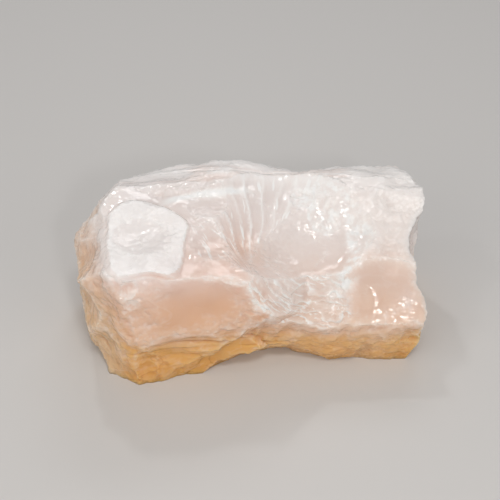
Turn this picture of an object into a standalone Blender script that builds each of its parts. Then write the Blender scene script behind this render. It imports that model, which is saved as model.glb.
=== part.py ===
"""Rose quartz chunk: a hand-sized lump of massive rose quartz, broken on every side.

Metres, +Z up.  The stone lies on its flat resting face.  The origin is on that face, below
the middle of the stone.  X runs along the stone, and the broad smooth front faces -Y.

Massive quartz has no cleavage.  It breaks along flat or slightly curved surfaces, and a blow
lifts off shell-shaped flakes.  The stone is modelled as it was made: two blocks that belong
to one piece are bounded by flat breaks, then flakes are struck off them, and every break
gets the relief of its own kind of fracture.  The breaks are written in millimetres.
"""

import bpy
import bmesh
import numpy as np

# ---- Driving dimensions ---------------------------------------------------------------------

LENGTH = 0.0982        # end to end, along X
DEPTH = 0.0538         # front to back, along Y
HEIGHT = 0.0414        # resting face to the crest at the back, along Z
TRIANGLES = 9000       # faces of the finished solid, about
SEED = 11              # of the relief

MM = 0.001
NODE = "rose_quartz_chunk"


# ---- The breaks -----------------------------------------------------------------------------

BLOCKS = ("left", "right", "table")
breaks = []


def unit(direction):
    direction = np.array(direction, float)
    return direction / np.linalg.norm(direction)


def flat(name, block, point, facing, kind):
    """A break that runs straight on: nothing of the block is left in front of it."""
    breaks.append({"name": name, "block": block, "kind": kind, "shape": "flat",
                   "point": np.array(point, float), "facing": unit(facing)})


def flake(name, block, at, facing, width, depth, kind, run=(0, 0, 0)):
    """The hollow of one flake, a piece of a ball's surface `width` across and `depth` deep.

    A flake with a `run` was drawn out along it, and leaves a trough with round ends.
    """
    radius = (width * width / 4 + depth * depth) / (2 * depth)
    middle = np.array(at, float) + unit(facing) * (radius - depth)
    half = np.array(run, float) / 2
    breaks.append({"name": name, "block": block, "kind": kind, "shape": "flake",
                   "radius": radius, "start": middle - half, "end": middle + half})


def low_cone(name, block, at, radii, slope, kind):
    """The sloping side of a low raised patch; `radii` is its half size at the height of `at`."""
    breaks.append({"name": name, "block": block, "kind": kind, "shape": "cone",
                   "point": np.array(at, float), "radii": np.array(radii), "slope": slope})


# All round the stone.
flat("base", "all", (0, 0, -2.5), (0, 0, -1), "plain")
flat("top_back", "all", (-5, 18, 40.4), (0.03, 0.30, 1), "layered")
flat("top_back_left", "all", (-12, 20, 39.9), (-0.12, 0.38, 1), "layered")
flat("corner_upper_left", "all", (-39.0, 10, 37.9), (-0.66, 0.28, 0.68), "glassy")
flat("left_shoulder", "all", (-44.4, -2, 31.6), (-0.72, -0.12, 0.62), "uneven")
flat("left_end", "all", (-46.9, -2, 22), (-0.97, -0.15, 0.02), "uneven")
flat("left_end_low", "all", (-43.1, -15, 16), (-0.90, -0.30, -0.14), "uneven")
flat("left_front", "all", (-35.8, -20.3, 16), (-0.45, -0.89, 0.06), "uneven")
flat("right_end", "all", (47.3, 15, 30), (1.0, -0.01, 0.0), "uneven")
flat("right_end_low", "all", (46.4, -14, 10), (1.0, -0.12, -0.05), "uneven")
flat("right_foot_corner", "all", (46.0, -13, 4), (0.75, -0.25, -0.6), "uneven")
flat("right_upper_corner", "all", (44.3, 24, 36), (0.75, 0.35, 0.5), "uneven")
flat("back", "all", (0, 28.5, 25), (0.02, 1.0, 0.15), "glassy")
flat("back_low", "all", (0, 24, 8), (0.0, 0.8, -0.6), "uneven")
flat("back_left", "all", (-22, 25.5, 30), (-0.22, 0.95, 0.1), "glassy")
flat("back_far_left", "all", (-38, 18, 20), (-0.75, 0.65, 0.1), "uneven")
flat("back_right", "all", (44, 24, 20), (0.7, 0.7, 0.05), "uneven")

# The left block: the broad front, the top behind it, and the steep end of the front.
flat("top_left", "left", (-25, -8, 38.0), (0.08, -0.10, 1), "glassy")
flat("fan", "left", (-0.8, -14.6, 36.2), (0.36, -0.05, 1), "hackled")
flat("front", "left", (-15, -21.6, 30), (0.03, -1.0, 0.12), "glassy")
flat("front_foot", "left", (-30, -24.0, 2), (0.10, -1, 0.0), "uneven")
flat("front_under", "left", (-11.0, -18.6, 2), (0.36, -0.86, -0.36), "uneven")
flat("diagonal", "left", (2.2, -17.2, 34.5), (0.66, -0.64, 0.40), "glassy")

# The table: a roundish patch of an older break, left standing proud of the left block.
flat("table_top", "table", (-25, -8, 38.9), (0.10, -0.08, 1), "table")
low_cone("table_side", "table", (-28.2, -6.8, 38.8), (11.6, 14.2), 0.9, "glassy")
flat("table_right", "table", (-18.1, -8, 38.8), (0.97, -0.23, 0.8), "glassy")
flat("table_left", "table", (-37.6, -12, 38.8), (-0.9, -0.43, 0.8), "glassy")
flat("table_front", "table", (-29, -20.3, 38), (0.03, -1, 0), "glassy")

# The right block: it slopes down to the front in two steps, over a low band.
flat("right_top", "right", (25, 11, 39.2), (0.03, -0.10, 1), "layered")
flat("right_upper", "right", (25, 2, 34.5), (0.02, -0.43, 0.90), "sugary")
flat("right_lower", "right", (25, -13, 24), (0.05, -0.77, 0.63), "glassy")
flat("front_low_right", "right", (25, -16.8, 12), (0.02, -1.0, -0.25), "uneven")

# Flakes off the top and the slope.
flake("scoop", "all", (17.0, 0.3, 33.5), (0.06, -0.43, 0.9), 24, 3.7, "glassy", run=(3, 0, 0))
flake("table_dish", "all", (-28, -7, 39.0), (0.1, -0.1, 1), 12, 0.7, "glassy")
flake("sector", "all", (-10.6, -5.9, 37.5), (0.2, -0.1, 1), 17, 1.6, "glassy")
flake("sector_back", "all", (-12, 4.1, 38.6), (0.2, 0.0, 1), 12, 1.3, "layered")
flake("fan_dish", "all", (-1.0, -2.0, 35.9), (0.26, -0.08, 1), 26, 1.8, "hackled")
flake("scoop_side", "all", (8.2, -1.0, 32.6), (0.34, -0.28, 0.9), 16, 1.2, "glassy")
flake("slope_triangle", "right", (8.9, -11, 27.7), (0.25, -0.6, 0.7), 13, 1.5, "glassy")
flake("slope_hackle", "right", (17.0, -14.5, 22.2), (0.05, -0.75, 0.66), 20, 1.5, "ribbed")
flake("hackle_side", "left", (11.2, -17.0, 22.8), (0.50, -0.70, 0.52), 12.5, 1.0, "ribbed")
flake("slope_smooth", "all", (32.7, -11.7, 25), (0.08, -0.72, 0.65), 21, 1.7, "glassy")
flake("scoop_ring", "all", (17.7, 7.1, 33.2), (0.16, -0.6, 0.78), 6.5, 0.6, "glassy")
flake("scoop_rim_left", "all", (12.6, 11.4, 35.9), (0.3, -0.4, 0.85), 5.5, 0.6, "glassy")
flake("scoop_rim_back", "all", (25.6, 9.2, 36.6), (-0.1, -0.7, 0.7), 6.5, 0.7, "glassy")
flake("scoop_rim_right", "all", (29.4, 3.4, 32.6), (-0.3, -0.55, 0.8), 6, 0.6, "glassy")
flake("slope_grain", "all", (37.4, 0.9, 33.2), (0.1, -0.38, 0.9), 15, 0.8, "sugary")
flake("crest_notch", "all", (14.9, 23.8, 38.1), (0, 0.6, 0.8), 14, 0.9, "glassy")
flake("upper_left_bite", "all", (-42.5, 6.6, 35.5), (-0.8, 0.15, 0.6), 13, 2.0, "uneven")

# Flakes off the front and the foot below it.
flake("front_dish", "all", (-12.7, -21.8, 27.8), (0.02, -1, 0.12), 34, 1.4, "glassy")
flake("front_low_dish", "all", (-13.2, -22.3, 11.8), (0.02, -1, 0), 18, 1.2, "layered", run=(6, 0, 0))
flake("foot_hollow", "all", (-27.4, -23.7, 8.6), (0, -1, -0.1), 10, 1.5, "uneven")
flake("edge_nick_a", "all", (-29.3, -21.6, 33.7), (-0.3, -0.9, 0.4), 4.5, 0.7, "glassy")
flake("edge_nick_b", "all", (-28.5, -22, 29.8), (-0.3, -0.9, 0.3), 3.5, 0.6, "glassy")
flake("edge_nick_c", "all", (-10, -20.9, 34.7), (0, -0.8, 0.6), 7, 1.0, "glassy")
flake("edge_nick_d", "all", (-4.8, -20.8, 34.3), (0, -0.8, 0.6), 6, 0.9, "glassy")
flake("low_recess", "all", (9.7, -15, 3.7), (0, -0.8, -0.6), 20, 1.6, "uneven")

# Flakes off the two ends and the back.
flake("left_upper", "all", (-43, -7.4, 32.2), (-0.85, -0.1, 0.5), 15, 1.6, "uneven")
flake("left_middle", "all", (-42, -16.8, 21.3), (-0.9, -0.4, 0), 14, 1.7, "uneven")
flake("left_low", "all", (-38, -19.6, 10.7), (-0.6, -0.75, -0.05), 13, 1.2, "uneven")
flake("right_hollow", "all", (47.2, -3, 25), (1, -0.1, 0.1), 21, 3.9, "uneven", run=(0, -5, -5))
flake("right_dish", "all", (47.3, 12, 12), (1, 0, -0.1), 22, 1.8, "glassy")
flake("back_middle", "all", (-12, 28.6, 20), (0.1, 1, 0.15), 40, 4, "glassy")
flake("back_right_shell", "all", (30, 28, 22), (0.25, 1, 0.1), 30, 3, "glassy")
flake("back_left_shell", "all", (-37, 20, 22), (-0.7, 0.7, 0.2), 22, 2.5, "uneven")
flake("back_low_shell", "all", (12, 22, 7), (0.1, 0.75, -0.6), 26, 2.2, "uneven")


# ---- Relief of the fractures ----------------------------------------------------------------

random = np.random.default_rng(SEED)
SHUFFLE = random.permutation(256)
SLOPES = random.normal(size=(256, 3))
SLOPES /= np.linalg.norm(SLOPES, axis=1)[:, None]


def swell(points, size, number):
    """Smooth random ups and downs between about -1 and 1; `size` is their width in mm."""
    q = points / np.array(size, float) + 17.3 * number
    cell = np.floor(q).astype(int)
    inside = q - cell
    fade = inside ** 3 * (inside * (inside * 6 - 15) + 10)
    total = np.zeros(len(points))
    for corner in np.ndindex(2, 2, 2):
        c = cell + corner
        code = SHUFFLE[(SHUFFLE[(SHUFFLE[c[:, 0] & 255] + c[:, 1]) & 255] + c[:, 2]) & 255]
        share = np.where(corner, fade, 1 - fade).prod(axis=1)
        total += share * ((inside - corner) * SLOPES[code]).sum(axis=1)
    return total * 1.6


def sway(points):
    """How far in mm the breaks wander from true planes and balls."""
    wide = [1.5 * swell(points, 19, 51 + axis) for axis in range(3)]
    near = [0.7 * swell(points, 7.5, 61 + axis) for axis in range(3)]
    return np.stack(wide, axis=1) + np.stack(near, axis=1)


def ledges(height, rise):
    """Turns a slope into small ledges, each `rise` high."""
    q = height / rise
    level = np.floor(q)
    return rise * (level + np.clip(((q - level) - 0.5) * 3 + 0.5, 0, 1))


# Where the scoop was struck, and where the crack of the fan set out, in mm.
SCOOP_BLOW = (24.0, -9.0, 41.0)
FAN_ROOT = (1.0, -20.5, 38.0)
# The hackles of the fan: degrees from +Y seen from its root, and height in mm.
HACKLES = ((-42, 0.2), (-33, 0.35), (-25, 0.25), (-17, 0.45), (-9, 0.25), (-3, 0.45),
           (5, 0.4), (12, 0.25), (18, 0.35), (27, 0.2))
STEEP_SIDE = 1.3       # degrees over which a hackle drops
GENTLE_SIDE = 4.5      # degrees over which it rises


def relief(points):
    """Height in mm of each kind of fracture.

    Each kind has two random heights, mixed differently in each break, and the pattern that
    belongs to it: the ribs of a struck flake or the hackles of the fan.
    """
    swells = {}
    for pick in (0, 1):
        n = 10 * pick
        broad = swell(points, 15, n + 1)
        middle = swell(points, 6.5, n + 2)
        small = swell(points, 3.0, n + 3)
        streak = swell(points, (22, 5, 2.6), n + 4)
        swells.setdefault("glassy", []).append(0.40 * broad + 0.10 * middle)
        lumps = 0.55 * broad + 0.70 * middle
        swells.setdefault("uneven", []).append(ledges(lumps, 0.55) + 0.30 * small)
        swells.setdefault("table", []).append(0.20 * broad + 0.12 * small)
        swells.setdefault("layered", []).append(0.35 * broad + 0.55 * streak + 0.12 * small)
        swells.setdefault("sugary", []).append(0.35 * broad + 0.30 * middle + 0.16 * small)
        swells.setdefault("plain", []).append(np.zeros(len(points)))
    # Ribs lie in rings round the point where the scoop was struck.
    struck = np.linalg.norm(points - SCOOP_BLOW, axis=1)
    rings = np.sin(struck * 2.4 + 1.8 * swell(points, 9, 31))
    ribs = 0.14 * rings + 0.18 * swell(points, 3.4, 32)
    # Hackles run out like the ribs of a fan from where the crack started, steep on one side.
    across = points - FAN_ROOT
    angle = np.degrees(np.arctan2(across[:, 0], across[:, 1])) + 2.5 * swell(points, 10, 41)
    reach = np.clip((np.hypot(across[:, 0], across[:, 1]) - 5) / 12, 0, 1)
    hackles = np.zeros(len(points))
    for middle, rise in HACKLES:
        turn = angle - middle
        drop = np.where(turn > 0, turn / STEEP_SIDE, -turn / GENTLE_SIDE)
        hackles += rise * reach * np.clip(1 - drop, 0, 1)
    swells["ribbed"] = [0.25 * height for height in swells["glassy"]]
    swells["hackled"] = [0.30 * height for height in swells["glassy"]]
    patterns = {"ribbed": ribs, "hackled": hackles}
    for kind in swells:
        swells[kind].append(patterns.get(kind, np.zeros(len(points))))
    return swells


# ---- The stone's surface --------------------------------------------------------------------

def height_over(points, heights=None):
    """Distance in mm of each point from the stone's surface, below zero inside the stone."""
    worst = {}
    for number, b in enumerate(breaks):
        if b["shape"] == "flat":
            d = (points - b["point"]) @ b["facing"]
        elif b["shape"] == "cone":
            away = points - b["point"]
            round_it = np.hypot(*(away[:, :2] / b["radii"]).T) - 1
            d = round_it * b["radii"].min() + b["slope"] * away[:, 2]
        else:
            along = b["end"] - b["start"]
            share = (points - b["start"]) @ along / max(along @ along, 1e-9)
            nearest = b["start"] + np.clip(share, 0, 1)[:, None] * along
            d = b["radius"] - np.linalg.norm(points - nearest, axis=1)
        if heights is not None:
            first, second, pattern = heights[b["kind"]]
            turn = 2.4 * number
            d = d - (np.cos(turn) * first + np.sin(turn) * second + pattern)
        for block in BLOCKS if b["block"] == "all" else (b["block"],):
            worst[block] = d if block not in worst else np.maximum(worst[block], d)
    return np.minimum.reduce([worst[block] for block in BLOCKS])


def surface(start, direction, shift=0, heights=None):
    """Follows each ray out from inside the stone to the first break that it meets."""
    far = np.zeros(len(start))
    going = np.arange(len(start))
    shift = np.zeros(start.shape) + shift
    for step in range(90):
        points = start[going] + far[going, None] * direction[going] + shift[going]
        these = None
        if heights is not None:
            these = {kind: [h[going] for h in three] for kind, three in heights.items()}
        gap = -height_over(points, these)
        far[going] += 0.9 * gap
        going = going[np.abs(gap) > 0.002]
        if len(going) == 0:
            break
    return far


# ---- Build ----------------------------------------------------------------------------------

for old in list(bpy.data.objects):
    bpy.data.objects.remove(old, do_unlink=True)

collection = bpy.data.collections.new("rose_quartz")
bpy.context.scene.collection.children.link(collection)

# A block as large as the stone, divided finely enough to take the relief.
bpy.ops.mesh.primitive_cube_add(size=1, location=(0, 0, 0))
stone = bpy.context.object
stone.name = NODE
stone.data.name = NODE
for owner in list(stone.users_collection):
    owner.objects.unlink(stone)
collection.objects.link(stone)
stone.scale = (96, 50, 38)
bpy.ops.object.transform_apply(location=False, rotation=False, scale=True)
divide = stone.modifiers.new("divide", "SUBSURF")
divide.subdivision_type = "SIMPLE"
divide.levels = 7
divide.render_levels = 7
bpy.ops.object.modifier_apply(modifier="divide")

# Each of its points moves on to the breaks, straight out from a line through the stone.
flat_list = np.empty(len(stone.data.vertices) * 3)
stone.data.vertices.foreach_get("co", flat_list)
block_points = flat_list.reshape(-1, 3)
centre_line = block_points * (0.62, 0, 0)
outward = block_points - centre_line
outward /= np.linalg.norm(outward, axis=1)[:, None]
start = centre_line + np.array((0, 1.5, 18.5))
far = surface(start, outward)
shift = sway(start + far[:, None] * outward)
far = surface(start, outward, shift)
heights = relief(start + far[:, None] * outward)
far = surface(start, outward, shift, heights)
points = (start + far[:, None] * outward) * MM
stone.data.vertices.foreach_set("co", points.ravel())
stone.data.update()

# Fewer faces where the stone is flat, more along its ridges.
thin = stone.modifiers.new("thin", "DECIMATE")
thin.ratio = TRIANGLES / (2 * len(stone.data.polygons))
thin.use_collapse_triangulate = True
bpy.ops.object.modifier_apply(modifier="thin")

# The resting face is cut flat.
mesh = bmesh.new()
mesh.from_mesh(stone.data)
everything = mesh.verts[:] + mesh.edges[:] + mesh.faces[:]
cut = bmesh.ops.bisect_plane(mesh, geom=everything, plane_co=(0, 0, 0), plane_no=(0, 0, 1),
                             dist=1e-6, clear_inner=True)
rim = [edge for edge in cut["geom_cut"] if isinstance(edge, bmesh.types.BMEdge)]
bmesh.ops.holes_fill(mesh, edges=rim)
bmesh.ops.dissolve_degenerate(mesh, dist=2e-5, edges=mesh.edges[:])
bmesh.ops.triangulate(mesh, faces=mesh.faces[:])
bmesh.ops.recalc_face_normals(mesh, faces=mesh.faces[:])

# It is set to its size, with the origin on the resting face below its middle.
corners = np.array([vertex.co for vertex in mesh.verts])
low, high = corners.min(axis=0), corners.max(axis=0)
size = np.array((LENGTH, DEPTH, HEIGHT)) / (high - low)
for vertex in mesh.verts:
    vertex.co.x = (vertex.co.x - (low[0] + high[0]) / 2) * size[0]
    vertex.co.y = (vertex.co.y - (low[1] + high[1]) / 2) * size[1]
    vertex.co.z = (vertex.co.z - low[2]) * size[2]
mesh.to_mesh(stone.data)
mesh.free()

# ---- Material -------------------------------------------------------------------------------

quartz = bpy.data.materials.new("rose quartz")
quartz.use_nodes = True
shader = quartz.node_tree.nodes["Principled BSDF"]
shader.inputs["Base Color"].default_value = (0.80, 0.56, 0.49, 1)
shader.inputs["Roughness"].default_value = 0.32
shader.inputs["Metallic"].default_value = 0.0
stone.data.materials.clear()
stone.data.materials.append(quartz)
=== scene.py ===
import bmesh
import bpy
import numpy as np
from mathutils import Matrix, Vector


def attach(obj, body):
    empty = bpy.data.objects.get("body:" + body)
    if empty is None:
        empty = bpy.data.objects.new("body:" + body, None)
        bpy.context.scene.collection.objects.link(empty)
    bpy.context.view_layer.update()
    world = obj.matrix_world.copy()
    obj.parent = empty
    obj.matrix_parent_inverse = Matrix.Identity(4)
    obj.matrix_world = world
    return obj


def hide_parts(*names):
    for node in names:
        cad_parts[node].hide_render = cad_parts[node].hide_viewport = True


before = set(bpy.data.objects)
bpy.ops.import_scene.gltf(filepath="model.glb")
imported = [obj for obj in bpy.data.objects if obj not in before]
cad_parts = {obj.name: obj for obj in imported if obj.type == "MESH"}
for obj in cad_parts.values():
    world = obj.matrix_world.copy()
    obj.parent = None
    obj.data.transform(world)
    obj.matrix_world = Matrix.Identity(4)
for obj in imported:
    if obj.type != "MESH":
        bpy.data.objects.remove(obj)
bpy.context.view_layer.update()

# ---- The stone: its breaks ----
# A rough chunk of massive rose quartz, about as long as a hand is wide, and all of one piece.
# Quartz has no cleavage: hammer and frost part it along flat or slightly curved breaks, and
# smaller blows lift shell-shaped flakes off its edges.  It lies free on its flattest side.

# End to end, front to back and up to the crest, in metres.  The breaks are in millimetres.
LENGTH, DEPTH, HEIGHT = 0.0982, 0.0538, 0.0414
MM = 0.001
# Two blocks and a low table belong to the one stone.
BLOCKS = ("left", "right", "table")
breaks = []


def unit(direction):
    direction = np.array(direction, float)
    return direction / np.linalg.norm(direction)


def flat(name, block, point, facing, kind):
    """A break that runs straight on: nothing of the block is left in front of it."""
    breaks.append({"name": name, "block": block, "kind": kind, "shape": "flat",
                   "point": np.array(point, float), "facing": unit(facing)})


def flake(name, block, at, facing, width, depth, kind, run=(0, 0, 0)):
    """The hollow of one flake, a piece of a ball's surface `width` across and `depth` deep.

    A flake with a `run` was drawn out along it, and leaves a trough with round ends.
    """
    radius = (width * width / 4 + depth * depth) / (2 * depth)
    middle = np.array(at, float) + unit(facing) * (radius - depth)
    half = np.array(run, float) / 2
    breaks.append({"name": name, "block": block, "kind": kind, "shape": "flake",
                   "radius": radius, "start": middle - half, "end": middle + half})


def low_cone(name, block, at, radii, slope, kind):
    """The sloping side of a low raised patch; `radii` is its half size at the height of `at`."""
    breaks.append({"name": name, "block": block, "kind": kind, "shape": "cone",
                   "point": np.array(at, float), "radii": np.array(radii), "slope": slope})


# All round the stone.
flat("base", "all", (0, 0, -2.5), (0, 0, -1), "plain")
flat("top_back", "all", (-5, 18, 40.4), (0.03, 0.30, 1), "layered")
flat("top_back_left", "all", (-12, 20, 39.9), (-0.12, 0.38, 1), "layered")
flat("corner_upper_left", "all", (-39.0, 10, 37.9), (-0.66, 0.28, 0.68), "glassy")
flat("left_shoulder", "all", (-44.4, -2, 31.6), (-0.72, -0.12, 0.62), "uneven")
flat("left_end", "all", (-46.9, -2, 22), (-0.97, -0.15, 0.02), "uneven")
flat("left_end_low", "all", (-43.1, -15, 16), (-0.90, -0.30, -0.14), "uneven")
flat("left_front", "all", (-35.8, -20.3, 16), (-0.45, -0.89, 0.06), "uneven")
flat("right_end", "all", (47.3, 15, 30), (1.0, -0.01, 0.0), "uneven")
flat("right_end_low", "all", (46.4, -14, 10), (1.0, -0.12, -0.05), "uneven")
flat("right_foot_corner", "all", (46.0, -13, 4), (0.75, -0.25, -0.6), "uneven")
flat("right_upper_corner", "all", (44.3, 24, 36), (0.75, 0.35, 0.5), "uneven")
flat("back", "all", (0, 28.5, 25), (0.02, 1.0, 0.15), "glassy")
flat("back_low", "all", (0, 24, 8), (0.0, 0.8, -0.6), "uneven")
flat("back_left", "all", (-22, 25.5, 30), (-0.22, 0.95, 0.1), "glassy")
flat("back_far_left", "all", (-38, 18, 20), (-0.75, 0.65, 0.1), "uneven")
flat("back_right", "all", (44, 24, 20), (0.7, 0.7, 0.05), "uneven")

# The left block: the broad front, the top behind it, and the steep end of the front.
flat("top_left", "left", (-25, -8, 38.0), (0.08, -0.10, 1), "glassy")
flat("fan", "left", (-0.8, -14.6, 36.2), (0.36, -0.05, 1), "hackled")
flat("front", "left", (-15, -21.6, 30), (0.03, -1.0, 0.12), "glassy")
flat("front_foot", "left", (-30, -24.0, 2), (0.10, -1, 0.0), "uneven")
flat("front_under", "left", (-11.0, -18.6, 2), (0.36, -0.86, -0.36), "uneven")
flat("diagonal", "left", (2.2, -17.2, 34.5), (0.66, -0.64, 0.40), "ribbed")

# The table: a round patch of an older break, left standing proud of the left block.
flat("table_top", "table", (-25, -8, 38.9), (0.10, -0.08, 1), "table")
low_cone("table_side", "table", (-28.2, -6.8, 38.8), (11.6, 14.2), 0.9, "glassy")
flat("table_right", "table", (-18.1, -8, 38.8), (0.97, -0.23, 0.8), "glassy")
flat("table_left", "table", (-37.6, -12, 38.8), (-0.9, -0.43, 0.8), "glassy")
flat("table_front", "table", (-29, -20.3, 38), (0.03, -1, 0), "glassy")

# The right block: it slopes down to the front in two steps, over a low band.
flat("right_top", "right", (25, 11, 39.2), (0.03, -0.10, 1), "layered")
flat("right_upper", "right", (25, 2, 34.5), (0.02, -0.43, 0.90), "sugary")
flat("right_lower", "right", (25, -13, 24), (0.05, -0.77, 0.63), "glassy")
flat("front_low_right", "right", (25, -16.8, 12), (0.02, -1.0, -0.25), "uneven")

# Flakes off the top and the slope.
flake("scoop", "all", (17.0, 0.3, 33.5), (0.06, -0.43, 0.9), 24, 3.7, "glassy", run=(3, 0, 0))
flake("table_dish", "all", (-28, -7, 39.0), (0.1, -0.1, 1), 12, 0.7, "glassy")
flake("sector", "all", (-10.6, -5.9, 37.5), (0.2, -0.1, 1), 17, 1.6, "glassy")
flake("sector_back", "all", (-12, 4.1, 38.6), (0.2, 0.0, 1), 12, 1.3, "layered")
flake("fan_dish", "all", (-1.0, -2.0, 35.9), (0.26, -0.08, 1), 26, 1.8, "hackled")
flake("scoop_side", "all", (8.2, -1.0, 32.6), (0.34, -0.28, 0.9), 16, 1.2, "glassy")
flake("slope_triangle", "right", (8.9, -11, 27.7), (0.25, -0.6, 0.7), 13, 1.5, "ribbed")
flake("slope_hackle", "right", (17.0, -14.5, 22.2), (0.05, -0.75, 0.66), 20, 1.5, "ribbed")
flake("hackle_side", "left", (11.2, -17.0, 22.8), (0.50, -0.70, 0.52), 12.5, 1.0, "ribbed")
flake("slope_smooth", "all", (32.7, -11.7, 25), (0.08, -0.72, 0.65), 21, 1.7, "glassy")
flake("scoop_ring", "all", (17.7, 7.1, 33.2), (0.16, -0.6, 0.78), 6.5, 0.6, "glassy")
flake("scoop_rim_left", "all", (12.6, 11.4, 35.9), (0.3, -0.4, 0.85), 5.5, 0.6, "glassy")
flake("scoop_rim_back", "all", (25.6, 9.2, 36.6), (-0.1, -0.7, 0.7), 6.5, 0.7, "glassy")
flake("scoop_rim_right", "all", (29.4, 3.4, 32.6), (-0.3, -0.55, 0.8), 6, 0.6, "glassy")
flake("slope_grain", "all", (37.4, 0.9, 33.2), (0.1, -0.38, 0.9), 15, 0.8, "sugary")
flake("crest_notch", "all", (14.9, 23.8, 38.1), (0, 0.6, 0.8), 14, 0.9, "glassy")
flake("upper_left_bite", "all", (-42.5, 6.6, 35.5), (-0.8, 0.15, 0.6), 13, 2.0, "uneven")

# Flakes off the front and the foot below it.
flake("front_dish", "all", (-12.7, -21.8, 27.8), (0.02, -1, 0.12), 34, 1.4, "glassy")
flake("front_low_dish", "all", (-13.2, -22.3, 11.8), (0.02, -1, 0), 18, 1.2, "layered", run=(6, 0, 0))
flake("foot_hollow", "all", (-27.4, -23.7, 8.6), (0, -1, -0.1), 10, 1.5, "uneven")
flake("edge_nick_a", "all", (-29.3, -21.6, 33.7), (-0.3, -0.9, 0.4), 4.5, 0.7, "glassy")
flake("edge_nick_b", "all", (-28.5, -22, 29.8), (-0.3, -0.9, 0.3), 3.5, 0.6, "glassy")
flake("edge_nick_c", "all", (-10, -20.9, 34.7), (0, -0.8, 0.6), 7, 1.0, "glassy")
flake("edge_nick_d", "all", (-4.8, -20.8, 34.3), (0, -0.8, 0.6), 6, 0.9, "glassy")
flake("low_recess", "all", (9.7, -15, 3.7), (0, -0.8, -0.6), 20, 1.6, "uneven")

# Flakes off the two ends and the back.
flake("left_upper", "all", (-43, -7.4, 32.2), (-0.85, -0.1, 0.5), 15, 1.6, "uneven")
flake("left_middle", "all", (-42, -16.8, 21.3), (-0.9, -0.4, 0), 14, 1.7, "uneven")
flake("left_low", "all", (-38, -19.6, 10.7), (-0.6, -0.75, -0.05), 13, 1.2, "uneven")
flake("right_hollow", "all", (47.2, -3, 25), (1, -0.1, 0.1), 21, 3.9, "uneven", run=(0, -5, -5))
flake("right_dish", "all", (47.3, 12, 12), (1, 0, -0.1), 22, 1.8, "glassy")
flake("back_middle", "all", (-12, 28.6, 20), (0.1, 1, 0.15), 40, 4, "glassy")
flake("back_right_shell", "all", (30, 28, 22), (0.25, 1, 0.1), 30, 3, "glassy")
flake("back_left_shell", "all", (-37, 20, 22), (-0.7, 0.7, 0.2), 22, 2.5, "uneven")
flake("back_low_shell", "all", (12, 22, 7), (0.1, 0.75, -0.6), 26, 2.2, "uneven")


# ---- The stone: the relief of its fractures ----
# Each break has the surface of its kind: glassy shells with faint ripples, sugary faces that
# step down in ledges, rings and scallops round a blow, and hackles, the ribs that fan out from
# where a crack started.  All heights and widths are in millimetres.

random = np.random.default_rng(11)
SHUFFLE = random.permutation(256)
SLOPES = random.normal(size=(256, 3))
SLOPES /= np.linalg.norm(SLOPES, axis=1)[:, None]


def swell(points, size, number):
    """Smooth random ups and downs between about -1 and 1; `size` is their width in mm."""
    q = points / np.array(size, float) + 17.3 * number
    cell = np.floor(q).astype(int)
    inside = q - cell
    fade = inside ** 3 * (inside * (inside * 6 - 15) + 10)
    total = np.zeros(len(points))
    for corner in np.ndindex(2, 2, 2):
        c = cell + corner
        code = SHUFFLE[(SHUFFLE[(SHUFFLE[c[:, 0] & 255] + c[:, 1]) & 255] + c[:, 2]) & 255]
        share = np.where(corner, fade, 1 - fade).prod(axis=1)
        total += share * ((inside - corner) * SLOPES[code]).sum(axis=1)
    return total * 1.6


def sway(points):
    """How far the breaks wander from true planes and balls."""
    wide = [1.5 * swell(points, 19, 51 + axis) for axis in range(3)]
    near = [0.7 * swell(points, 7.5, 61 + axis) for axis in range(3)]
    return np.stack(wide, axis=1) + np.stack(near, axis=1)


def ledges(height, rise):
    """Turns a slope into small ledges, each `rise` high."""
    q = height / rise
    level = np.floor(q)
    return rise * (level + np.clip(((q - level) - 0.5) * 3 + 0.5, 0, 1))


# Where the scoop was struck, and where the crack of the fan set out.
SCOOP_BLOW = (24.0, -9.0, 41.0)
FAN_ROOT = (1.0, -20.5, 38.0)
# The hackles of the fan: degrees from +Y seen from its root, and height.
HACKLES = ((-42, 0.12), (-33, 0.22), (-25, 0.14), (-17, 0.26), (-9, 0.14), (-3, 0.26),
           (5, 0.22), (12, 0.15), (18, 0.20), (27, 0.12))
HIGHEST_HACKLE = 0.26
STEEP_SIDE = 1.3       # degrees over which a hackle drops
GENTLE_SIDE = 4.5      # degrees over which it rises
# The crests are painted white later, partly as bruising and partly as a painted glint.
CREST_WIDTH = 0.8      # degrees of its bruised crest, to each side


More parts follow.
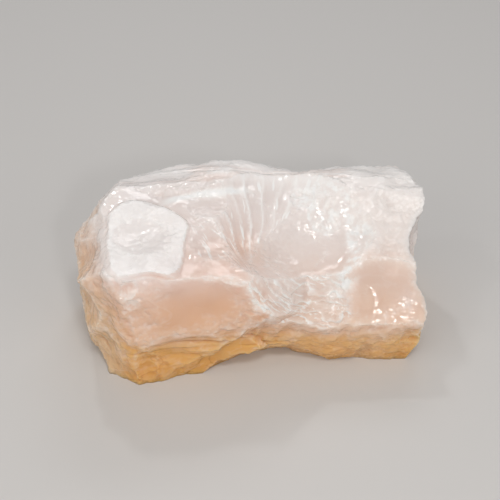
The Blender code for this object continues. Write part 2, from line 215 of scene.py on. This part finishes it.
def relief(points):
    """The height of each kind of fracture, and how sharp its crests are, from 0 to 1.

    Each kind has two random heights, mixed differently in each break, and the pattern that
    belongs to it: the ribs of a struck flake or the hackles of the fan.
    """
    swells = {}
    grain = swell(points, 0.85, 71)
    ripple = swell(points, 2.1, 72)
    for pick in (0, 1):
        n = 10 * pick
        broad = swell(points, 15, n + 1)
        middle = swell(points, 6.5, n + 2)
        small = swell(points, 3.0, n + 3)
        streak = swell(points, (22, 5, 2.6), n + 4)
        fine = swell(points, 1.5, n + 5)
        leaf = swell(points, (9, 2.2, 1.1), n + 6)
        glassy = 0.40 * broad + 0.10 * middle
        lumps = 0.55 * broad + 0.70 * middle
        swells.setdefault("glassy", []).append(glassy + 0.035 * ripple + 0.010 * grain)
        swells.setdefault("uneven", []).append(
            ledges(lumps, 0.55) + ledges(0.30 * small + 0.10 * fine, 0.16)
            + 0.16 * (0.4 - np.abs(fine)) + 0.07 * grain)
        swells.setdefault("layered", []).append(
            0.35 * broad + 0.55 * streak + 0.12 * small + ledges(0.20 * leaf, 0.09) + 0.03 * grain)
        swells.setdefault("table", []).append(
            0.20 * broad + 0.12 * small + 0.07 * fine + 0.03 * grain)
        swells.setdefault("sugary", []).append(
            0.35 * broad + 0.30 * middle + 0.16 * small + ledges(0.16 * fine, 0.10) + 0.06 * grain)
        swells.setdefault("plain", []).append(np.zeros(len(points)))
    # Ribs lie in rings round the point where the scoop was struck.
    struck = np.linalg.norm(points - np.array(SCOOP_BLOW), axis=1)
    rings = np.sin(struck * 2.4 + 1.8 * swell(points, 9, 31))
    ribs = 0.16 * rings + 0.20 * swell(points, 3.4, 32)
    # Between them the crack front ran in short scallops, each ending in a little cliff.
    patchy = np.clip(swell(points, 7, 33) + 0.8, 0, 1)
    scallop = (struck * 0.42 + 1.1 * swell(points, 5.0, 34) + 0.40 * swell(points, 2.2, 35)) % 1
    ribs = ribs + 0.55 * patchy * (scallop ** 2 - 0.3) * np.clip((1 - scallop) * 6, 0, 1)
    ribs = ribs + 0.03 * ripple + 0.012 * grain
    # Hackles run out like the ribs of a fan from where the crack started, steep on one side.
    across = points - np.array(FAN_ROOT)
    angle = np.degrees(np.arctan2(across[:, 0], across[:, 1])) + 2.5 * swell(points, 10, 41)
    reach = np.clip((np.hypot(across[:, 0], across[:, 1]) - 5) / 12, 0, 1)
    hackles = np.zeros(len(points))
    crest = np.zeros(len(points))
    for middle, rise in HACKLES:
        turn = angle - middle
        drop = np.where(turn > 0, turn / STEEP_SIDE, -turn / GENTLE_SIDE)
        hackles += rise * reach * np.clip(1 - drop, 0, 1)
        crest += rise * np.clip(1 - np.abs(turn + 0.3) / CREST_WIDTH, 0, 1)
    finer = (angle * 0.33 + 1.5 * swell(points, 4, 42)) % 1
    hackles = hackles + 0.10 * reach * np.clip(swell(points, 5, 43) + 0.3, 0, 1) * (finer - 0.5)
    hackles = hackles + 0.015 * grain
    swells["ribbed"] = [0.25 * height for height in swells["glassy"]]
    swells["hackled"] = [0.30 * height for height in swells["glassy"]]
    patterns = {"ribbed": ribs, "hackled": hackles}
    for kind in swells:
        swells[kind].append(patterns.get(kind, np.zeros(len(points))))
    crests = {"ribbed": np.clip((scallop - 0.72) * 5, 0, 1) * patchy,
              "hackled": crest * reach / HIGHEST_HACKLE}
    return swells, crests


# ---- The stone: its mesh ----
# The piece itself is one solid body of quartz.  A finely divided block of points is let out
# from a line through the middle of the stone until each point meets a break; then chips come
# off along the ridges, cracks are opened and the resting face is cut flat.

BLOCK = (96, 50, 38)                   # size of the block of points
CORE = (0, 1.5, 18.5)                  # middle of the line that they are let out from
CORE_SHARE = 0.62                      # of the block's length
FACES, QUICK_FACES = 190000, 60000


def height_over(points, heights=None, details=False):
    """Distance of each point from the stone's surface, below zero inside the stone.

    With `details` it also gives the distance from the block's next break, and which break
    is nearest.
    """
    worst = {}
    for number, b in enumerate(breaks):
        if b["shape"] == "flat":
            d = (points - b["point"]) @ b["facing"]
        elif b["shape"] == "cone":
            away = points - b["point"]
            round_it = np.hypot(*(away[:, :2] / b["radii"]).T) - 1
            d = round_it * b["radii"].min() + b["slope"] * away[:, 2]
        else:
            along = b["end"] - b["start"]
            share = (points - b["start"]) @ along / max(along @ along, 1e-9)
            nearest = b["start"] + np.clip(share, 0, 1)[:, None] * along
            d = b["radius"] - np.linalg.norm(points - nearest, axis=1)
        if heights is not None:
            first, second, pattern = heights[b["kind"]]
            turn = 2.4 * number
            d = d - (np.cos(turn) * first + np.sin(turn) * second + pattern)
        for block in BLOCKS if b["block"] == "all" else (b["block"],):
            if block not in worst:
                worst[block] = [d, np.full(len(d), -99.0), np.full(len(d), number)]
                continue
            top, second_top, which = worst[block]
            higher = d > top
            second_top = np.maximum(second_top, np.minimum(d, top))
            worst[block] = [np.where(higher, d, top), second_top, np.where(higher, number, which)]
    tops = np.stack([worst[block][0] for block in BLOCKS])
    if not details:
        return tops.min(axis=0)
    lowest = tops.argmin(axis=0)
    return [np.choose(lowest, [worst[block][part] for block in BLOCKS]) for part in range(3)]


def surface(start, direction, shift=0, heights=None, far=0):
    """Follows each ray out from inside the stone to the first break that it meets."""
    far = np.zeros(len(start)) + far
    going = np.arange(len(start))
    shift = np.zeros(start.shape) + shift
    for step in range(90):
        points = start[going] + far[going, None] * direction[going] + shift[going]
        these = None
        if heights is not None:
            these = {kind: [h[going] for h in three] for kind, three in heights.items()}
        gap = -height_over(points, these)
        far[going] += 0.9 * gap
        going = going[np.abs(gap) > 0.003]
        if len(going) == 0:
            break
    return far


bpy.ops.mesh.primitive_cube_add(size=1, location=(0, 0, 0))
stone = bpy.context.object
stone.name = "rose_quartz"
stone.data.name = "rose_quartz"
stone.scale = BLOCK
bpy.ops.object.transform_apply(location=False, rotation=False, scale=True)
divide = stone.modifiers.new("divide", "SUBSURF")
divide.subdivision_type = "SIMPLE"
divide.levels = 8
divide.render_levels = divide.levels
bpy.ops.object.modifier_apply(modifier="divide")

flat_list = np.empty(len(stone.data.vertices) * 3)
stone.data.vertices.foreach_get("co", flat_list)
block_points = flat_list.reshape(-1, 3)
centre_line = block_points * (CORE_SHARE, 0, 0)
outward = block_points - centre_line
outward /= np.linalg.norm(outward, axis=1)[:, None]
start = centre_line + np.array(CORE)
# First out to the bare breaks, then to the swaying ones, then to those with their relief.
far = surface(start, outward)
shift = sway(start + far[:, None] * outward)
far = surface(start, outward, shift, far=np.maximum(far - 4, 0))
heights, crests = relief(start + far[:, None] * outward)
far = surface(start, outward, shift, heights, far=np.maximum(far - 4, 0))
points = start + far[:, None] * outward
over, next_over, which = height_over(points + shift, heights, details=True)
names = np.array([b["name"] for b in breaks])[which]
kinds = np.array([b["kind"] for b in breaks])[which]

# Along the ridges, where two breaks meet, small chips have come away.
ridge = np.clip(1 - (over - next_over) / 1.0, 0, 1)
chip = np.clip(swell(points, 2.2, 81) - 0.25, 0, 1) + 0.7 * np.clip(swell(points, 1.1, 82), 0, 1)
chip = chip * ridge * np.clip(points[:, 2] / 3, 0, 1)

# Open cracks: each follows a warped plane into the stone.  They are listed by a point and the
# facing of that plane, how far they reach, how wide they are, and the number of their warp.
CRACKS = (((-12, -23, 14.2), (0.06, 0.1, 1), 17, 0.32, 91),
          ((-27, -24, 12.0), (-0.10, 0.2, 1), 8, 0.25, 92),
          ((-42, -12, 26.0), (0.75, -0.6, 0.35), 11, 0.30, 93),
          ((-40, -18, 10.0), (0.6, -0.5, 0.6), 9, 0.30, 94),
          ((-5, 20, 38.5), (0.0, 1, 0.15), 26, 0.28, 95),
          ((4, -15, 9.0), (0.15, 0.2, 1), 9, 0.25, 96),
          ((20, 29, 16.0), (0.35, 0.1, 1), 15, 0.28, 97))
cracks = np.zeros(len(points))
for point, facing, reach, width, number in CRACKS:
    away = points - np.array(point)
    off = away @ unit(facing) + 0.9 * swell(points, 7, number) + 0.3 * swell(points, 2.4, number + 10)
    fade = np.clip(1 - (away ** 2).sum(axis=1) / reach ** 2, 0, 1)
    cracks = np.maximum(cracks, fade * np.exp(-(off / width) ** 2))

CHIP_DEPTH, CRACK_DEPTH = 0.75, 0.55
far = far - CHIP_DEPTH * chip - CRACK_DEPTH * cracks
points = start + far[:, None] * outward
stone.data.vertices.foreach_set("co", (points * MM).ravel())

# The far rim of the scoop is white, partly crushed and partly a painted highlight, in an arc round
# its middle that is open on the left.
SCOOP_MIDDLE, SCOOP_RADII = (18.3, 0.8), (10.6, 13.2)
round_scoop = (points[:, :2] - SCOOP_MIDDLE) / SCOOP_RADII
out = np.hypot(round_scoop[:, 0], round_scoop[:, 1])
turn = np.degrees(np.arctan2(round_scoop[:, 0], round_scoop[:, 1]))
arc = np.clip((turn + 50) / 25, 0, 1) * np.clip((175 - turn) / 30, 0, 1)
crush_and_glint = arc * np.exp(-((out - 1.02) / 0.20) ** 2) * (points[:, 2] > 20)
# So is the sharp edge that runs down from the fan between the front and the slope.
EDGE_TOP, EDGE_FOOT = np.array((-0.9, -20.7, 34.2)), np.array((7.8, -21.6, 17.0))
edge = EDGE_FOOT - EDGE_TOP
share = np.clip((points - EDGE_TOP) @ edge / (edge ** 2).sum(), 0, 1)
off_edge = np.linalg.norm(points - EDGE_TOP - share[:, None] * edge, axis=1)
crush_and_glint = np.maximum(crush_and_glint, ridge * np.exp(-(off_edge / 1.8) ** 4))
# And so are the nicks in the front's upper edge and in the scoop's rim.
nicks = ("edge_nick_a", "edge_nick_b", "edge_nick_c", "edge_nick_d")
scoop_nicks = ("scoop_ring", "scoop_rim_left", "scoop_rim_back", "scoop_rim_right")
crush_and_glint = np.maximum(crush_and_glint, 0.5 * np.isin(names, nicks))
crush_and_glint = np.maximum(crush_and_glint, 0.9 * np.isin(names, scoop_nicks))

# What each point is, from 0 to 1, for the finish.
ROUGHNESS_OF = {"glassy": 0.0, "uneven": 1.0, "layered": 0.55, "ribbed": 0.1, "hackled": 0.1,
                "table": 0.7, "sugary": 0.8, "plain": 1.0}
marks = {"rough": np.array([ROUGHNESS_OF[b["kind"]] for b in breaks])[which],
         "crests": sum(np.where(kinds == kind, crests[kind], 0) for kind in crests),
         "chips": np.clip(chip * 2.2, 0, 1),
         "cracks": cracks,
         "ridge": ridge,
         "crush_and_glint": crush_and_glint,
         "table": 1.0 * np.isin(names, ("table_top", "table_dish")),
         "dish": 1.0 * (names == "table_dish"),
         "hackled": 1.0 * (kinds == "hackled"),
         "ribbed": 1.0 * (kinds == "ribbed"),
         "layered": 1.0 * (kinds == "layered")}
for name, values in marks.items():
    layer = stone.data.attributes.new(name, "FLOAT", "POINT")
    layer.data.foreach_set("value", values)

thin = stone.modifiers.new("thin", "DECIMATE")
thin.ratio = FACES / (2 * len(stone.data.polygons))
thin.use_collapse_triangulate = True
bpy.ops.object.modifier_apply(modifier="thin")

# The resting face is cut flat, and the stone is brought to its size and place.
mesh = bmesh.new()
mesh.from_mesh(stone.data)
everything = mesh.verts[:] + mesh.edges[:] + mesh.faces[:]
cut = bmesh.ops.bisect_plane(mesh, geom=everything, plane_co=(0, 0, 0), plane_no=(0, 0, 1),
                             dist=1e-6, clear_inner=True)
open_edges = [edge for edge in cut["geom_cut"] if isinstance(edge, bmesh.types.BMEdge)]
bmesh.ops.holes_fill(mesh, edges=open_edges)
bmesh.ops.triangulate(mesh, faces=mesh.faces[:])
bmesh.ops.recalc_face_normals(mesh, faces=mesh.faces[:])
corners = np.array([vertex.co for vertex in mesh.verts])
low, high = corners.min(axis=0), corners.max(axis=0)
stretch = np.array((LENGTH, DEPTH, HEIGHT)) / (high - low)
for vertex in mesh.verts:
    vertex.co.x = (vertex.co.x - (low[0] + high[0]) / 2) * stretch[0]
    vertex.co.y = (vertex.co.y - (low[1] + high[1]) / 2) * stretch[1]
    vertex.co.z = (vertex.co.z - low[2]) * stretch[2]
mesh.to_mesh(stone.data)
mesh.free()
stone.data.shade_smooth()
stone.data.set_sharp_from_angle(angle=0.6)

# ---- The stone: its material ----
# Cloudy, translucent quartz, pink from traces of minerals and stained by iron from below: cool
# and pale on top, peach on the front, honey at the foot, partly its own colour and partly painted
# light, pale from above and warm below.  It is white where it is bruised or crushed, and where
# glints are painted on crests, rims and nicks; its breaks are glassy or sugary.  Places in it are in
# metres.

quartz = bpy.data.materials.new("rose quartz")
quartz.use_nodes = True
tree = quartz.node_tree
nodes, links = tree.nodes, tree.links
shader = nodes["Principled BSDF"]
where = nodes.new("ShaderNodeTexCoord")


def give(socket, value):
    """Sets a socket to a number or a colour, or joins it to another socket."""
    if isinstance(value, (float, int)):
        socket.default_value = value
    elif isinstance(value, tuple):
        socket.default_value = (*value, 1)
    else:
        links.new(value, socket)


def noise(scale, detail=3, roughness=0.55, stretch=None, distortion=0.0):
    """Cloudy values round 0.5, `scale` of them to the metre."""
    texture = nodes.new("ShaderNodeTexNoise")
    texture.inputs["Scale"].default_value = scale
    texture.inputs["Detail"].default_value = detail
    texture.inputs["Roughness"].default_value = roughness
    texture.inputs["Distortion"].default_value = distortion
    place = where.outputs["Object"]
    if stretch is not None:
        mapping = nodes.new("ShaderNodeMapping")
        mapping.inputs["Scale"].default_value = stretch
        links.new(place, mapping.inputs["Vector"])
        place = mapping.outputs["Vector"]
    links.new(place, texture.inputs["Vector"])
    return texture.outputs["Fac"]


def ramp(value, low, high, to_low=0.0, to_high=1.0):
    """Goes smoothly from `to_low` to `to_high` as the value goes from `low` to `high`."""
    node = nodes.new("ShaderNodeMapRange")
    node.interpolation_type = "SMOOTHSTEP"
    node.inputs["From Min"].default_value = low
    node.inputs["From Max"].default_value = high
    node.inputs["To Min"].default_value = to_low
    node.inputs["To Max"].default_value = to_high
    links.new(value, node.inputs["Value"])
    return node.outputs["Result"]


def combine(operation, first, *others):
    """Joins values by one operation, from left to right."""
    for other in others:
        node = nodes.new("ShaderNodeMath")
        node.operation = operation
        give(node.inputs[0], first)
        give(node.inputs[1], other)
        first = node.outputs[0]
    return first


def plus(*values):
    return combine("ADD", *values)


def minus(first, second):
    return combine("SUBTRACT", first, second)


def times(*values):
    return combine("MULTIPLY", *values)


def highest(*values):
    return combine("MAXIMUM", *values)


def wavy(value, clouds, amount):
    """A value that clouds push up and down by up to half the amount."""
    return plus(value, times(minus(clouds, 0.5), amount))


def thread(value, middle, width, core=0.0):
    """1 where the value is within `core` of the middle, and 0 from `width` on."""
    off = combine("ABSOLUTE", minus(value, middle), 0)
    return ramp(off, width, core)


def mix(share, first, second):
    node = nodes.new("ShaderNodeMix")
    node.data_type = "RGBA"
    give(node.inputs[0], share)
    give(node.inputs[6], first)
    give(node.inputs[7], second)
    return node.outputs[2]


def lay(below, tone, *masks):
    """A tone over the colour below it, as strong as its masks multiplied."""
    return mix(times(*masks), below, tone)


def mark(name):
    node = nodes.new("ShaderNodeAttribute")
    node.attribute_name = name
    return node.outputs["Fac"]


# Fracture lines round a point: rays where `Around` is large, rings where `Outward` is large.
rays = bpy.data.node_groups.new("fracture lines", "ShaderNodeTree")
rays.interface.new_socket("Place", in_out="INPUT", socket_type="NodeSocketVector")
rays.interface.new_socket("Centre", in_out="INPUT", socket_type="NodeSocketVector")
for name in ("Around", "Outward", "Wander"):
    rays.interface.new_socket(name, in_out="INPUT", socket_type="NodeSocketFloat")
rays.interface.new_socket("Lines", in_out="OUTPUT", socket_type="NodeSocketFloat")


def inner_math(operation, first, second):
    """One sum inside the group of the fracture lines."""
    node = rays.nodes.new("ShaderNodeMath")
    node.operation = operation
    rays.links.new(first, node.inputs[0])
    rays.links.new(second, node.inputs[1])
    return node


given = rays.nodes.new("NodeGroupInput").outputs
away = rays.nodes.new("ShaderNodeVectorMath")
away.operation = "SUBTRACT"
rays.links.new(given["Place"], away.inputs[0])
rays.links.new(given["Centre"], away.inputs[1])
parts = rays.nodes.new("ShaderNodeSeparateXYZ")
rays.links.new(away.outputs[0], parts.inputs[0])
size = rays.nodes.new("ShaderNodeVectorMath")
size.operation = "LENGTH"
rays.links.new(away.outputs[0], size.inputs[0])
wave = rays.nodes.new("ShaderNodeTexNoise")
wave.inputs["Scale"].default_value = 160
wave.inputs["Detail"].default_value = 1
rays.links.new(given["Place"], wave.inputs["Vector"])
angle = inner_math("ARCTAN2", parts.outputs["X"], parts.outputs["Y"])
turned = inner_math("MULTIPLY", angle.outputs[0], given["Around"])
bend = inner_math("MULTIPLY_ADD", wave.outputs["Fac"], given["Wander"])
rays.links.new(turned.outputs[0], bend.inputs[2])
out = inner_math("MULTIPLY", size.outputs["Value"], given["Outward"])
both = rays.nodes.new("ShaderNodeCombineXYZ")
rays.links.new(bend.outputs[0], both.inputs[0])
rays.links.new(out.outputs[0], both.inputs[1])
field = rays.nodes.new("ShaderNodeTexNoise")
field.inputs["Scale"].default_value = 1.0
field.inputs["Detail"].default_value = 2.0
field.inputs["Roughness"].default_value = 0.5
rays.links.new(both.outputs[0], field.inputs["Vector"])
rays.links.new(field.outputs["Fac"], rays.nodes.new("NodeGroupOutput").inputs["Lines"])


def fracture(centre, around, outward, wander):
    node = nodes.new("ShaderNodeGroup")
    node.node_tree = rays
    links.new(where.outputs["Object"], node.inputs["Place"])
    node.inputs["Centre"].default_value = centre
    node.inputs["Around"].default_value = around
    node.inputs["Outward"].default_value = outward
    node.inputs["Wander"].default_value = wander
    return node.outputs["Lines"]


PEACH = (0.785, 0.50, 0.34)
PINK = (0.795, 0.615, 0.54)
PALE = (0.81, 0.75, 0.73)
WARM = (0.76, 0.54, 0.42)
AMBER = (0.79, 0.47, 0.24)
HONEY = (0.80, 0.43, 0.10)
BURNT = (0.66, 0.31, 0.06)
BEIGE = (0.74, 0.52, 0.33)
WHITE = (0.94, 0.90, 0.885)
FROST = (0.90, 0.865, 0.865)
SNOW = (0.93, 0.90, 0.89)
MILK = (0.93, 0.92, 0.89)
CHALK = (0.935, 0.90, 0.89)
BRIGHT = (0.99, 0.975, 0.96)
RUST = (0.50, 0.20, 0.05)

split = nodes.new("ShaderNodeSeparateXYZ")
links.new(where.outputs["Object"], split.inputs[0])
x, y, z = split.outputs
rough_break, table, hackled, ribbed = mark("rough"), mark("table"), mark("hackled"), mark("ribbed")
ridges, crushed_and_glinting = mark("ridge"), mark("crush_and_glint")
cloud, soft = noise(42, 4), noise(20, 3)

# The tones of the body, by height, by depth from the front and along the stone: partly the
# stone's own pink and partly painted light, paler on the top, its back and the upper right as
# painted light from above, and peach and warm on the front as painted warm light.
height = wavy(z, soft, 0.018)
inward = wavy(y, soft, 0.015)
behind = ramp(y, 0.0255, 0.0190, 0.40, 1.0)
past_edge = plus(x, times(minus(z, 0.035), 0.5))
colour = mix(ramp(height, 0.024, 0.036), PEACH, PINK)
colour = lay(colour, PALE, ramp(inward, -0.014, 0.006), behind, 0.75)
colour = lay(colour, PALE, ramp(height, 0.031, 0.041), 0.6)
colour = lay(colour, PALE, ramp(past_edge, -0.003, 0.005), behind, 0.62)
colour = lay(colour, SNOW, ramp(inward, 0.009, 0.017), ramp(z, 0.031, 0.037),
             ramp(x, -0.040, -0.024, 0.35, 0.75))
colour = lay(colour, WARM, ramp(x, 0.020, 0.030), ramp(inward, -0.003, -0.010),
             ramp(z, 0.012, 0.018), 0.40)
colour = lay(colour, MILK, ramp(x, 0.024, 0.036), ramp(z, 0.026, 0.032), 0.25)

# Iron has stained the foot and the left end, further up at the back than at the front; the
# amber and honey of the foot are partly that stain and partly painted warm light, darkest at the
# bottom.
height = plus(height, times(minus(cloud, 0.5), ramp(inward, 0.000, 0.015), 0.030))
leftward = wavy(x, noise(30, 3), 0.020)
colour = lay(colour, AMBER, ramp(height, 0.026, 0.013), 0.55)
colour = lay(colour, HONEY, ramp(height, 0.0185, 0.0110), 0.80)
colour = lay(colour, BURNT, ramp(height, 0.0090, 0.0020), 0.55)
colour = lay(colour, BEIGE, ramp(leftward, -0.030, -0.041), ramp(height, 0.020, 0.034, 0.80, 0.30))

# Milky clouds and thin veils, and the mottling of sugary breaks, fainter towards the foot.
clear_low = ramp(z, 0.004, 0.020, 0.25, 1.0)
veil = noise(24, 5, 0.6, stretch=(1.0, 2.2, 3.0), distortion=0.8)
colour = lay(colour, WHITE, ramp(cloud, 0.50, 0.75), 0.14)
colour = lay(colour, FROST, ramp(x, -0.022, -0.030), ramp(z, 0.0345, 0.0375), 0.6)
colour = lay(colour, WHITE, thread(veil, 0.5, 0.022), 0.09)
colour = lay(colour, WHITE, rough_break, ramp(noise(330, 3, 0.6), 0.45, 0.62), clear_low, 0.20)

# White and pink layers run along the back of the top, and a white vein lies behind the fan.
layered = times(mark("layered"), ramp(z, 0.028, 0.034))
band = noise(60, 4, 0.55, stretch=(0.35, 2.4, 3.2), distortion=0.5)
colour = lay(colour, WHITE, layered, ramp(band, 0.50, 0.64), 0.55)
colour = lay(colour, PINK, layered, ramp(band, 0.44, 0.34), 0.35)
across_vein = wavy(minus(y, times(x, 0.30)), noise(70, 3), 0.006)
colour = lay(colour, BRIGHT, thread(across_vein, 0.0105, 0.0022, 0.0004), ramp(z, 0.034, 0.037),
             ramp(x, 0.004, -0.004), ramp(x, -0.026, -0.020), 0.85)
colour = lay(colour, CHALK, table, 0.85)
colour = lay(colour, PALE, mark("dish"), 0.35)

# White streaks in the sector.  The spokes of the fan are painted highlights on the lit sides of
# its hackles; the crests of hackles and scallops are white, partly bruising and partly painted
# glints; the struck slope is laid whiter, with painted glints along its rings.
near_sector = nodes.new("ShaderNodeVectorMath")
near_sector.operation = "DISTANCE"
links.new(where.outputs["Object"], near_sector.inputs[0])
near_sector.inputs[1].default_value = (-0.0115, -0.0095, 0.037)
streaks = fracture((-0.0165, 0.000, 0.038), 11.0, 130.0, 1.5)
spokes = fracture((0.0012, -0.0215, 0.030), 19.0, 90.0, 1.2)
rings = fracture((0.024, -0.0117, 0.041), 9.0, 1500.0, 3.0)
colour = lay(colour, BRIGHT, ramp(near_sector.outputs["Value"], 0.0085, 0.0045),
             ramp(z, 0.0345, 0.0355), ramp(streaks, 0.56, 0.63), 0.65)
colour = lay(colour, BRIGHT, hackled, ramp(spokes, 0.61, 0.66), 0.75)
colour = lay(colour, BRIGHT, mark("crests"), 0.85)
colour = lay(colour, WHITE, ribbed, 0.16)
colour = lay(colour, BRIGHT, ribbed, ramp(rings, 0.55, 0.62), ramp(noise(110, 3), 0.40, 0.58), 0.75)

# Crushed places, chips and worn ridges are white, and rust lies in seams and open cracks low down.
# The white of crushed places, rims and nicks is partly painted highlight.
crush_and_glint_patchiness = plus(0.30, times(ramp(noise(420, 3, 0.6), 0.40, 0.62), 0.70))
# Crushed white and painted highlight on the scoop's rim, the fan's edge and the nicks.
colour = lay(colour, BRIGHT, crushed_and_glinting, crush_and_glint_patchiness)
colour = lay(colour, WHITE, mark("chips"), clear_low, 0.40)
# The white along ridges is partly wear and partly a painted edge highlight.
colour = lay(colour, WHITE, ridges, clear_low, 0.14)
seam = thread(noise(30, 5, 0.6, stretch=(0.7, 1, 2.4), distortion=1.0), 0.5, 0.016)
rusty = highest(times(seam, ramp(height, 0.016, 0.006)),
                times(mark("cracks"), ramp(height, 0.030, 0.012)))
colour = lay(colour, RUST, rusty, 0.45)
links.new(colour, shader.inputs["Base Color"])

patches = ramp(noise(160, 3), 0.4, 0.7)
roughness = plus(0.06, times(rough_break, 0.14), times(patches, 0.10), times(table, 0.08))
links.new(minus(roughness, times(ribbed, 0.05)), shader.inputs["Roughness"])

# Relief too fine for the mesh: ripples and grains, the lines above, and splinters that catch
# the light on sugary breaks, ridges and the crushed places painted white as highlights.
cells = nodes.new("ShaderNodeTexVoronoi")
cells.inputs["Scale"].default_value = 620
links.new(where.outputs["Object"], cells.inputs["Vector"])
splinter = highest(times(rough_break, 0.8), crushed_and_glinting, times(ribbed, 0.25), times(ridges, 0.8))
bump_height = plus(times(noise(900, 4, 0.6), plus(0.10, times(rough_break, 0.9))),
                   times(noise(240, 3, 0.5), 0.6),
                   times(noise(2600, 2, 0.6), rough_break, 0.25),
                   times(hackled, spokes, 1.6),
                   times(ribbed, rings, 0.7),
                   times(cells.outputs["Distance"], splinter, 1.1),
                   times(ribbed, ramp(rings, 0.47, 0.50), 0.3))
bump = nodes.new("ShaderNodeBump")
bump.inputs["Strength"].default_value = 0.7
bump.inputs["Distance"].default_value = 0.0003
links.new(bump_height, bump.inputs["Height"])
links.new(bump.outputs["Normal"], shader.inputs["Normal"])

shader.subsurface_method = "RANDOM_WALK"
shader.inputs["Subsurface Weight"].default_value = 0.85
shader.inputs["Subsurface Radius"].default_value = (1.0, 0.98, 0.96)
shader.inputs["Subsurface Scale"].default_value = 0.0042
shader.inputs["IOR"].default_value = 1.54
stone.data.materials.clear()
stone.data.materials.append(quartz)

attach(stone, "root")
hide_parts("rose_quartz_chunk")

# ---- The floor, the light and the camera ----
# The stone lies on plain pale paper in a soft, even light: a window behind it, a warm bounce
# from the left, a broad key from above the front and a few small lamps that make it glint.

bpy.ops.mesh.primitive_plane_add(size=6, location=(0, 0, 0))
floor = bpy.context.object
floor.name = "floor"
paper = bpy.data.materials.new("pale paper")
paper.use_nodes = True
sheet = paper.node_tree.nodes["Principled BSDF"]
sheet.inputs["Base Color"].default_value = (0.62, 0.61, 0.60, 1)
sheet.inputs["Roughness"].default_value = 0.8
floor.data.materials.append(paper)

STONE_MIDDLE = Vector((0, 0, 0.02))


def soft_light(name, place, size, power, colour):
    """A rectangular lamp turned to the stone; its size is in metres and its power in watts."""
    lamp = bpy.data.lights.new(name, "AREA")
    lamp.shape = "RECTANGLE"
    lamp.size, lamp.size_y = size
    lamp.energy = power
    lamp.color = colour
    light = bpy.data.objects.new(name, lamp)
    bpy.context.scene.collection.objects.link(light)
    light.location = place
    light.rotation_euler = (STONE_MIDDLE - Vector(place)).to_track_quat("-Z", "Y").to_euler()


soft_light("window", (0.10, 0.55, 0.62), (0.42, 0.16), 0.76, (1.0, 0.98, 0.98))
soft_light("bounce", (-0.55, -0.55, 0.45), (0.7, 0.6), 1.8, (1.0, 0.94, 0.87))
soft_light("spark", (-0.12, 0.30, 0.50), (0.04, 0.04), 0.30, (1.0, 1.0, 1.0))
soft_light("key", (0.05, -0.26, 0.56), (0.16, 0.10), 0.86, (1.0, 0.98, 0.95))
soft_light("spark left", (-0.30, -0.12, 0.48), (0.05, 0.05), 0.12, (1.0, 1.0, 1.0))
soft_light("spark front", (0.10, -0.36, 0.30), (0.04, 0.04), 0.26, (1.0, 1.0, 1.0))
soft_light("side", (0.55, -0.45, 0.35), (0.5, 0.5), 0.8, (1.0, 0.97, 0.93))

world = bpy.data.worlds.new("studio")
bpy.context.scene.world = world
world.use_nodes = True
world.node_tree.nodes["Background"].inputs["Color"].default_value = (0.84, 0.83, 0.83, 1)
world.node_tree.nodes["Background"].inputs["Strength"].default_value = 0.33
bpy.context.scene.view_settings.view_transform = "Standard"

# The camera looks down at the stone from straight in front of it.
AIM = Vector((0.0002, 0.0062, 0.0200))
DISTANCE = 0.275
LOOKING_DOWN = np.radians(42)
eye = bpy.data.cameras.new("camera")
eye.lens = 70
eye.sensor_width = 36
eye.clip_start = 0.01
camera = bpy.data.objects.new("camera", eye)
bpy.context.scene.collection.objects.link(camera)
back = Vector((0, -np.cos(LOOKING_DOWN), np.sin(LOOKING_DOWN)))
camera.location = AIM + DISTANCE * back
camera.rotation_euler = back.to_track_quat("Z", "Y").to_euler()
bpy.context.scene.camera = camera
